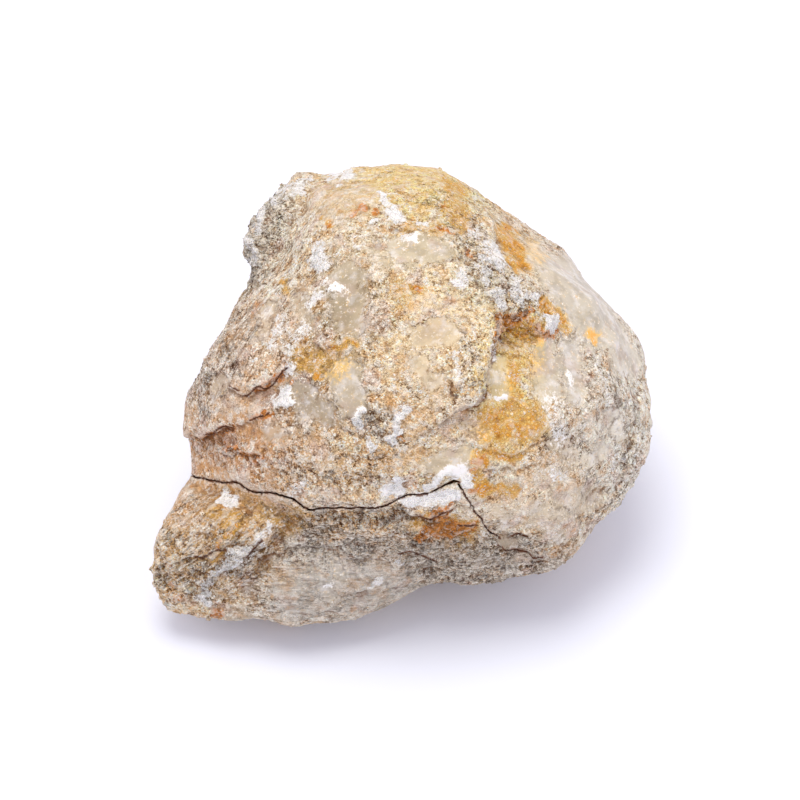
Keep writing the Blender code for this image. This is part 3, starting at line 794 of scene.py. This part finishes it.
def crack_walks():
    """The places along each crack, with its mouth and depth: the main one, its branch, the rest."""
    for seed, line in enumerate((CRACK, CRACK_BRANCH, *SMALL_CRACKS), 1):
        size = (SMALL_MOUTH, SMALL_DEPTH) if seed > 2 else (CRACK_MOUTH, CRACK_DEPTH)
        yield walked(line, CRACK_STEP, CRACK_SWAY, seed), *size


def add_crack_blade(bm, surface, walk, mouth, depth):
    """Adds a thin ragged strip that stands in the stone along a crack."""
    strip = []
    widths = []
    for stop, (x, y, width) in enumerate(walk):
        deep = depth_at(surface, x, y)
        if deep is None:
            continue
        ragged = 1.0 + 1.1 * noise.noise((stop * 0.45, walk[0][0], 3.0))
        taper = min(1.0, (len(walk) - stop) / 3.0)
        half = mouth / 2 * width * taper * ragged
        strip.append((x, y, deep - BLADE_ABOVE, deep + depth))
        widths.append((half * 1.2, half * 0.5))
    swept_blade(bm, strip, widths)


def cut_away(stone, bm):
    """Cuts the blades out of the stone."""
    bmesh.ops.recalc_face_normals(bm, faces=bm.faces)
    mesh = bpy.data.meshes.new("blades")
    bm.to_mesh(mesh)
    bm.free()
    blades = add_object("blades", mesh)
    cut = stone.modifiers.new("cut", "BOOLEAN")
    cut.operation = "DIFFERENCE"
    cut.solver = "MANIFOLD"
    cut.object = blades
    finished_mesh(stone)
    bpy.data.objects.remove(blades)


def cut_cracks(stone):
    """Cuts every crack; the branch crosses the main one, so it is cut by itself."""
    surface = BVHTree.FromObject(stone, bpy.context.evaluated_depsgraph_get())
    separate, branch = bmesh.new(), bmesh.new()
    for number, (walk, mouth, depth) in enumerate(crack_walks()):
        add_crack_blade(branch if number == 1 else separate, surface, walk, mouth, depth)
    cut_away(stone, separate)
    cut_away(stone, branch)


def thin_out(stone):
    triangles = sum(len(face.vertices) - 2 for face in stone.data.polygons)
    if triangles > MOST_TRIANGLES:
        thinning = stone.modifiers.new("thinning", "DECIMATE")
        thinning.ratio = MOST_TRIANGLES / triangles
        finished_mesh(stone)


def mend(mesh):
    """Takes out the stray bits that cutting and thinning leave, and closes the holes behind them."""
    bm = bmesh.new()
    bm.from_mesh(mesh)
    for _ in range(6):
        torn = [
            vert for vert in bm.verts
            if vert.is_boundary or not vert.is_manifold or len(vert.link_faces) < 3
        ]
        if not torn:
            break
        bmesh.ops.delete(bm, geom=torn, context="VERTS")
        rims = [edge for edge in bm.edges if edge.is_boundary]
        closed = bmesh.ops.holes_fill(bm, edges=rims, sides=0)
        bmesh.ops.triangulate(bm, faces=closed["faces"])
    bmesh.ops.recalc_face_normals(bm, faces=bm.faces)
    bm.to_mesh(mesh)
    bm.free()


def colour_stone(mesh):
    """Puts every mark, the ground's colour, and the pits and hollows that set the painted shade and
    painted highlights, on the mesh.
    """
    points, normals = points_of(mesh), normals_of(mesh)
    edges = edges_of(mesh)
    near = smoothed(points, edges, PIT_ROUNDS)
    wide = smoothed(near, edges, HOLLOW_ROUNDS)
    wide_normals = smoothed(normals, edges, NORMAL_ROUNDS)
    marks = marks_at(points, normals)
    shown = soft_step(*TURNED_AWAY, facing_camera(points, wide_normals))
    marks["seams"] = shown * stroke_strength(seen_at(points), seams(half_width=1.0))
    # Pits and hollows: how far each point lies below its neighbours. They set where shade is painted in
    # the recesses (partly dirt) and where highlights are painted on the high places (partly wear).
    marks["pits"] = clamp(0.5 + np.einsum("ij,ij->i", near - points, normals) / (PIT_MM * MM))
    marks["hollows"] = clamp(0.5 + np.einsum("ij,ij->i", wide - points, normals) / (HOLLOW_MM * MM))
    put_marks(mesh, marks, ground_at(points, normals))


def seams(half_width):
    """Strokes along every crack."""
    return [(half_width, 1.0, *walk[:, :2]) for walk, *_ in crack_walks()]


def put_marks(mesh, marks, ground):
    for kind, values in marks.items():
        layer = mesh.attributes.new(kind, "FLOAT", "POINT")
        layer.data.foreach_set("value", values.astype(np.float32))
    colours = np.ones((len(ground), 4))
    colours[:, :3] = ground
    layer = mesh.attributes.new("ground", "FLOAT_COLOR", "POINT")
    layer.data.foreach_set("color", colours.astype(np.float32).ravel())


def crumb_seats(mesh, chance):
    """Places for the crumbs and the way each one stands out, most of them where the crust is rough."""
    points, normals = points_of(mesh), normals_of(mesh)
    mesh.calc_loop_triangles()
    corners = np.empty(len(mesh.loop_triangles) * 3, np.int32)
    mesh.loop_triangles.foreach_get("vertices", corners)
    corners = corners.reshape(-1, 3)
    a, b, c = (points[corners[:, corner]] for corner in range(3))
    out = normals[corners].mean(axis=1)
    middles = (a + b + c) / 3.0
    marks = marks_at(middles, out)
    shown = drawn_share(middles, out)
    weights = np.linalg.norm(np.cross(b - a, c - a), axis=1) * (0.3 + 0.7 * shown)
    weights *= (1.0 - 0.97 * soft_step(0.2, 0.6, marks["spar"])) * (1.0 - 0.7 * marks["smooth"])
    weights *= 0.15 + marks["rough"] + 0.8 * marks["rubble"] + 0.6 * clamp(marks["chalk"])
    weights *= 0.25 + soft_step(-0.3, 0.3, noise_at(middles, 5.0, 51))
    weights *= soft_step(2.0, 4.0, middles[:, 2] / MM)
    weights *= 1.0 - stroke_strength(seen_at(middles), seams(half_width=3.0))
    picks = chance.choice(len(corners), CRUMBS, p=weights / weights.sum())
    shares = chance.dirichlet((1.0, 1.0, 1.0), CRUMBS)
    seats = sum(part[picks] * shares[:, corner, None] for corner, part in enumerate((a, b, c)))
    return seats, out[picks]


def unit(vectors):
    return vectors / np.linalg.norm(vectors, axis=1)[:, None]


def add_crumbs(stone):
    """Small uneven blocks of calcite, half sunk in the crust."""
    chance = np.random.default_rng(7)
    seats, normals = crumb_seats(stone.data, chance)
    out = unit(normals + chance.normal(0.0, 0.3, (CRUMBS, 3)))
    side = unit(np.cross(out, chance.normal(0.0, 1.0, (CRUMBS, 3))))
    other = np.cross(out, side)
    least, greatest = CRUMB_MM
    size = MM * (least + (greatest - least) * chance.random(CRUMBS) ** 3)
    # A unit block with its corners nudged, flattened and laid on its seat
    block = np.array([(x, y, z) for z in (-0.5, 0.5) for y in (-0.5, 0.5) for x in (-0.5, 0.5)])
    corners = block + chance.uniform(-0.2, 0.2, (CRUMBS, 8, 3))
    corners *= chance.uniform(*CRUMB_SHAPE, (CRUMBS, 3))[:, None, :]
    corners *= size[:, None, None]
    spread = corners[:, :, :1] * side[:, None] + corners[:, :, 1:2] * other[:, None]
    seats -= CRUMB_SINK_MM * MM * normals
    vertices = seats[:, None] + spread + corners[:, :, 2:] * out[:, None]
    sides = np.array((
        (0, 2, 3, 1), (4, 5, 7, 6), (0, 1, 5, 4), (2, 6, 7, 3), (0, 4, 6, 2), (1, 3, 7, 5),
    ))
    faces = (sides + 8 * np.arange(CRUMBS)[:, None, None]).reshape(-1, 4)
    mesh = bpy.data.meshes.new("crust_crumbs")
    mesh.from_pydata(vertices.reshape(-1, 3).tolist(), [], faces.tolist())
    marks = marks_at(seats, normals)
    # Crumbs stand out, so they take the painted highlight of the high places and none of the painted
    # shade of pits and hollows
    marks["pits"] = chance.uniform(0.2, 0.5, CRUMBS)
    marks["hollows"] = np.full(CRUMBS, 0.5)
    marks["seams"] = np.zeros(CRUMBS)
    pale = 0.6 * (chance.random(CRUMBS) < PALE_CRUMBS)[:, None]
    ground = ground_at(seats, normals) * chance.uniform(0.7, 1.3, CRUMBS)[:, None]
    ground = clamp(ground * (1.0 - pale) + light_value((250, 242, 226)) * pale)
    marks = {kind: np.repeat(values, 8) for kind, values in marks.items()}
    put_marks(mesh, marks, np.repeat(ground, 8, axis=0))
    return add_object("crust_crumbs", mesh)


# Materials


class Nodes:
    """Short ways to add nodes to a material, in the object's own coordinates.

    Scales are in cells per metre. Colours are given as 0 to 255, and are laid over the colour so far
    by the product of some shares.
    """

    def __init__(self, tree, colour):
        self.tree = tree
        self.place = self.add("ShaderNodeTexCoord").outputs["Object"]
        self.colour = self.add("ShaderNodeAttribute", attribute_name=colour).outputs["Color"]

    def add(self, kind, inputs=(), **settings):
        node = self.tree.nodes.new(kind)
        for name, value in settings.items():
            setattr(node, name, value)
        for name, value in dict(inputs).items():
            self.feed(node.inputs[name], value)
        return node

    def feed(self, socket, value):
        if isinstance(value, bpy.types.NodeSocket):
            self.tree.links.new(value, socket)
        else:
            socket.default_value = value

    def math(self, operation, first, second=0.0):
        node = self.add("ShaderNodeMath", operation=operation)
        self.feed(node.inputs[0], first)
        self.feed(node.inputs[1], second)
        return node.outputs[0]

    def product(self, first, *others):
        for other in others:
            first = self.math("MULTIPLY", first, other)
        return first

    def total(self, *parts):
        """The sum of values, each times its factor."""
        whole = 0.0
        for value, factor in parts:
            node = self.add("ShaderNodeMath", operation="MULTIPLY_ADD")
            for socket, part in zip(node.inputs, (value, factor, whole)):
                self.feed(socket, part)
            whole = node.outputs[0]
        return whole

    def span(self, value, low, high, to_low=0.0, to_high=1.0):
        node = self.add("ShaderNodeMapRange", interpolation_type="SMOOTHSTEP")
        for number, part in enumerate((value, low, high, to_low, to_high)):
            self.feed(node.inputs[number], part)
        return node.outputs[0]

    def mix(self, blend, second, shares):
        # Inputs 6 and 7 are the node's two colours, and output 2 is what they make.
        node = self.add("ShaderNodeMix", data_type="RGBA", blend_type=blend, clamp_result=True)
        self.feed(node.inputs[0], self.product(*shares))
        self.feed(node.inputs[6], self.colour)
        self.feed(node.inputs[7], second)
        self.colour = node.outputs[2]

    def over(self, tint, *shares):
        """Lays a tint over the colour."""
        self.mix("MIX", (*light_value(tint), 1.0), shares)

    def times(self, factors, *shares):
        """Multiplies the colour's red, green and blue."""
        self.mix("MULTIPLY", (*factors, 1.0), shares)

    def mark(self, name):
        return self.add("ShaderNodeAttribute", attribute_name=name).outputs["Fac"]

    def noise(self, scale, detail=2.0, roughness=0.5, place=None):
        inputs = {"Scale": scale, "Detail": detail, "Roughness": roughness}
        inputs["Vector"] = self.place if place is None else place
        return self.add("ShaderNodeTexNoise", inputs).outputs[0]

    def cells(self, scale, feature="F1", output="Distance"):
        inputs = {"Vector": self.place, "Scale": scale}
        return self.add("ShaderNodeTexVoronoi", inputs, feature=feature).outputs[output]

    def random_cell(self, scale):
        """A random value for each little cell of space."""
        colour = self.cells(scale, output="Color")
        return self.add("ShaderNodeSeparateColor", {"Color": colour}).outputs[0]

    def fibres(self, lay):
        """Noise drawn out along a direction over the broad face."""
        along = ACROSS * math.cos(lay) + UP_FACE * math.sin(lay)
        aside = UP_FACE * math.cos(lay) - ACROSS * math.sin(lay)
        parts = {}
        for name, way, scale in zip("XYZ", (along, aside, TO_CAMERA), FIBRE_SCALES):
            dot = self.add("ShaderNodeVectorMath", operation="DOT_PRODUCT")
            self.feed(dot.inputs[0], self.place)
            self.feed(dot.inputs[1], tuple(way * scale))
            parts[name] = dot.outputs["Value"]
        laid = self.add("ShaderNodeCombineXYZ", parts).outputs[0]
        return self.noise(1.0, 2.0, 0.6, laid)


def calcite_fields(n):
    """What breaks up every edge and every flat colour, and where the crust and the spar show."""
    f = SimpleNamespace()
    f.drift = n.noise(170.0)
    f.coarse = n.noise(420.0, 3.0, 0.6)
    f.middling = n.noise(1000.0, 3.0, 0.7)
    f.fine = n.noise(2300.0, 2.0, 0.6)
    f.sugar, f.crumb, f.lump = (n.random_cell(scale) for scale in (3000.0, 1500.0, 820.0))
    joints = n.product(n.cells(820.0, "DISTANCE_TO_EDGE"), 1.8)
    f.gaps = n.math("MINIMUM", n.cells(1500.0, "DISTANCE_TO_EDGE"), joints)
    f.ragged = n.total((f.middling, 1.0), (f.coarse, 0.6), (f.crumb, 0.3), (1.0, -0.95))
    f.drawn_out = n.total(*(
        (n.product(n.mark(kind), n.total((n.fibres(lay), 1.0), (1.0, -0.5))), 1.0)
        for kind, lay in (("fibres", BELLY_LAY), ("slanting", LOBE_LAY), ("steep", FLANK_LAY))
    ))
    f.rough = n.mark("rough")
    f.spar = n.span(n.total((n.mark("spar"), 1.0), (f.ragged, 0.8), (f.crumb, 0.2)), 0.25, 0.95)
    f.crust = n.total((f.spar, -1.0), (1.0, 1.0))
    return f


def patch(n, f, name, low, high):
    """Where a mark shows, with a ragged edge."""
    return n.span(n.total((n.mark(name), 1.0), (f.ragged, 1.0)), low, high)


def tint_ground(n, f):
    """Broad warm, pink, ochre and pale patches over the ground's colour."""
    patches = n.noise(720.0, 3.0, 0.6)
    n.over((224, 160, 76), n.span(f.drift, 0.5, 0.64, 0.0, 0.35), f.crust)
    n.over((216, 186, 170), n.span(f.drift, 0.46, 0.34, 0.0, 0.6))
    n.over((206, 146, 70), n.span(f.coarse, 0.46, 0.34, 0.0, 0.5), f.crust)
    n.over((250, 241, 226), n.span(f.coarse, 0.52, 0.64, 0.0, 0.7), f.crust)
    n.over((214, 146, 66), n.span(patches, 0.58, 0.68, 0.0, 0.2), f.crust)
    n.over((226, 214, 200), n.span(patches, 0.44, 0.36, 0.0, 0.35), f.crust)


def cloud_spar(n, f):
    """Clouds inside the smooth calcite."""
    cloudy = n.span(n.noise(300.0, 4.0, 0.6), 0.46, 0.66)
    murky = n.span(n.noise(230.0, 3.0, 0.6), 0.56, 0.36)
    n.over((182, 170, 146), f.spar, 0.45)
    n.over((240, 236, 232), cloudy, f.spar, 0.5)
    n.over((150, 134, 106), murky, f.spar, 0.4)


def grain_crust(n, f):
    """Grains of the crust, each with its own lightness, and the dark gaps between its crumbs."""
    rubble = n.product(n.mark("rubble"), f.crust)
    patchy = n.span(n.noise(230.0, 3.0, 0.6), 0.36, 0.58, 0.45, 1.0)
    grit = n.product(f.crust, n.span(patch(n, f, "smooth", 0.3, 0.8), 0.0, 1.0, 1.0, 0.35))
    grit = n.product(grit, n.math("MAXIMUM", patchy, rubble))
    gathered = n.total((n.noise(620.0), 1.2), (f.drawn_out, 1.6), (1.0, -0.6))
    opened = n.span(n.total((f.middling, 1.0), (gathered, -0.3)), 0.5, 0.62)
    pinholes = n.span(n.cells(430.0), 0.17, 0.09)
    f.lightness = n.total(
        (f.sugar, 0.75), (f.crumb, 0.3), (f.lump, 0.3), (f.fine, 0.3), (gathered, 0.4), (1.0, -0.825)
    )
    n.over((255, 248, 232), n.span(f.lightness, 0.2, 0.45), grit, 0.7)
    n.times((1.4, 1.38, 1.36), n.span(f.lightness, 0.0, 0.3), grit)
    n.times((0.36, 0.28, 0.19), n.span(f.lightness, -0.22, -0.44), grit)
    n.times((0.25, 0.16, 0.08), n.span(f.gaps, 0.12, 0.05), opened, grit)
    n.over((255, 247, 230), n.span(f.lightness, 0.08, 0.3), f.rough, f.crust, 0.7)
    n.times((0.26, 0.16, 0.07), n.span(f.lightness, -0.12, -0.32), f.rough, grit)
    n.over((74, 46, 22), pinholes, n.span(f.lump, 0.6, 0.7), grit, 0.9)


def streak_strata(n, f):
    """Pale, dark and ochre streaks where the surface is drawn out into fibres or beds."""
    ochre = n.span(n.math("ABSOLUTE", n.total((f.drawn_out, 1.0), (1.0, 0.05))), 0.07, 0.0)
    n.over((250, 243, 230), n.span(f.drawn_out, 0.03, 0.2), 0.6)
    n.over((112, 80, 44), n.span(f.drawn_out, -0.08, -0.22), 0.55)
    n.over((204, 150, 72), ochre, n.mark("slanting"), 0.5)


def line_crevices(n, f):
    """Fine crevices: wandering ones where it is rough, and long ones between the beds."""
    laid = n.total((n.mark("fibres"), 1.0), (n.mark("slanting"), 1.0), (n.mark("steep"), 1.0))
    broken = n.span(n.noise(190.0, 3.0, 0.6), 0.46, 0.56)
    wander = n.math("ABSOLUTE", n.total((n.noise(330.0, 4.0, 0.65), 1.0), (1.0, -0.5)))
    wander = n.product(n.span(wander, 0.024, 0.004), n.span(f.rough, 0.0, 1.0, 0.15, 1.0))
    between = n.span(n.math("ABSOLUTE", f.drawn_out), 0.022, 0.003)
    between = n.product(between, n.span(laid, 0.3, 0.7))
    f.crevice = n.product(n.math("MAXIMUM", wander, between), n.product(broken, f.crust))
    n.over((96, 58, 28), f.crevice, 0.9)


def stain_crust(n, f):
    """Grey skin, golden and rusty stains, and dark marks that are partly dirt and partly painted shade
    under ledges and in the recess.
    """
    grains = n.span(f.lightness, -0.3, 0.4, 1.0, 0.7)
    gold = patch(n, f, "gold", 0.0, 0.7)
    clotted = n.span(n.noise(520.0, 3.0, 0.65), 0.4, 0.58)
    n.over((190, 182, 168), patch(n, f, "grey", 0.2, 0.9), 0.4)
    n.over((254, 206, 104), gold, grains, 0.85)
    n.over((250, 170, 36), patch(n, f, "gold", 0.4, 0.95), clotted, grains, 0.95)
    n.over((170, 100, 30), n.span(f.gaps, 0.14, 0.04), gold, f.crust, 0.5)
    n.over((222, 134, 42), patch(n, f, "rust", 0.2, 0.7), grains, 0.9)
    n.over((86, 42, 14), patch(n, f, "rust", 0.75, 1.2), grains, 0.8)
    # Painted shade under the lips and ledges and in the recess, and dark dirt, from the shade-and-dirt
    # strokes
    n.over((92, 62, 34), patch(n, f, "shade_and_dirt", 0.25, 0.9), grains, 0.75)


def pit_shade_highlights_and_chalk(n, f):
    """Painted shade in the pits and hollows, partly dirt; painted highlights on the high places, partly
    wear; white chalk; and the brown lips of the cracks.
    """
    pits = n.mark("pits")
    # Painted highlight: the high places, which stand above their neighbours, made paler (partly wear)
    n.over((252, 243, 226), n.span(pits, 0.42, 0.12), f.crust, 0.4)
    # Painted shade: the pits made dark brown (partly dirt)
    n.over((116, 66, 24), n.span(pits, 0.58, 1.0), f.crust, 0.5)
    # Painted shade: the wider hollows made brown
    n.over((150, 96, 44), n.span(n.mark("hollows"), 0.66, 1.05), 0.35)
    chalky = n.total(
        (n.mark("chalk"), 0.9), (f.ragged, 1.2), (f.sugar, 0.45), (f.fine, 0.6), (1.0, -0.55)
    )
    n.over((244, 236, 222), n.span(chalky, 0.15, 0.5), 0.7)
    n.over((255, 251, 244), n.span(chalky, 0.38, 0.75), 0.97)
    n.over((120, 66, 30), n.span(n.mark("seams"), 0.2, 0.8), n.span(f.middling, 0.36, 0.5), 0.9)


def calcite_height(n, f):
    """Grain too fine for the mesh, low on the smooth calcite and higher where it is rough."""
    rounded = n.span(f.gaps, 0.0, 0.35)
    height = n.total(
        (f.middling, 0.55), (f.fine, 0.3), (rounded, 0.4), (f.drawn_out, 1.6), (f.crevice, -0.6)
    )
    height = n.product(height, n.span(f.spar, 0.0, 1.0, 1.0, 0.1))
    return n.product(height, n.total((f.rough, 0.25), (1.0, 1.0)))


def calcite_material():
    material = bpy.data.materials.new("crusted calcite")
    material.use_nodes = True
    tree = material.node_tree
    shader = tree.nodes["Principled BSDF"]
    n = Nodes(tree, "ground")
    f = calcite_fields(n)
    for layer in (
        tint_ground, cloud_spar, grain_crust, streak_strata, line_crevices, stain_crust, pit_shade_highlights_and_chalk,
    ):
        layer(n, f)
    n.feed(shader.inputs["Base Color"], n.colour)
    n.feed(shader.inputs["Roughness"], n.span(f.spar, 0.0, 1.0, 0.92, 0.42))
    shader.inputs["Specular IOR Level"].default_value = 0.4
    shader.inputs["Subsurface Weight"].default_value = 0.08
    shader.inputs["Subsurface Radius"].default_value = (1.0, 0.75, 0.5)
    shader.inputs["Subsurface Scale"].default_value = 0.6 * MM
    inputs = {"Height": calcite_height(n, f), "Strength": 1.0, "Distance": BUMP_MM * MM}
    n.feed(shader.inputs["Normal"], n.add("ShaderNodeBump", inputs).outputs[0])
    return material


# Floor, light and sky


FLOOR_REACH = 1.5
FLOOR_COLOUR = (0.90, 0.925, 1.0, 1.0)
KEY_PLACE = (-0.08, 0.06, 1.0)
KEY_SIZE = 0.55
KEY_POWER = 4.6
KEY_COLOUR = (1.0, 0.985, 0.92)
SKY_COLOUR = (0.97, 0.95, 1.06, 1.0)
SKY_STRENGTH = 0.86


def make_floor():
    bm = bmesh.new()
    bmesh.ops.create_grid(bm, x_segments=1, y_segments=1, size=FLOOR_REACH)
    mesh = bpy.data.meshes.new("floor")
    bm.to_mesh(mesh)
    bm.free()
    floor = add_object("floor", mesh)
    material = bpy.data.materials.new("pale floor")
    material.use_nodes = True
    shader = material.node_tree.nodes["Principled BSDF"]
    shader.inputs["Base Color"].default_value = FLOOR_COLOUR
    shader.inputs["Roughness"].default_value = 0.9
    shader.inputs["Specular IOR Level"].default_value = 0.1
    mesh.materials.append(material)


def make_key_light():
    data = bpy.data.lights.new("key", "AREA")
    data.shape = "DISK"
    data.size = KEY_SIZE
    data.energy = KEY_POWER
    data.color = KEY_COLOUR
    light = bpy.data.objects.new("key", data)
    light.location = KEY_PLACE
    aim = Vector(MIDDLE) - Vector(KEY_PLACE)
    light.rotation_euler = aim.to_track_quat("-Z", "Y").to_euler()
    bpy.context.scene.collection.objects.link(light)


def make_sky():
    world = bpy.data.worlds.new("studio")
    world.use_nodes = True
    background = world.node_tree.nodes["Background"]
    background.inputs["Color"].default_value = SKY_COLOUR
    background.inputs["Strength"].default_value = SKY_STRENGTH
    bpy.context.scene.world = world
    bpy.context.scene.view_settings.view_transform = "Standard"


def main():
    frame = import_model()
    make_camera()
    stone = fine_stone(frame["nodes"]["stone"])
    colour_stone(stone.data)
    stone.data.shade_smooth()
    crumbs = add_crumbs(stone)
    calcite = calcite_material()
    for piece in (stone, crumbs):
        piece.data.materials.clear()
        piece.data.materials.append(calcite)
        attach(piece, "root")
    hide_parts("stone")
    make_floor()
    make_key_light()
    make_sky()


main()
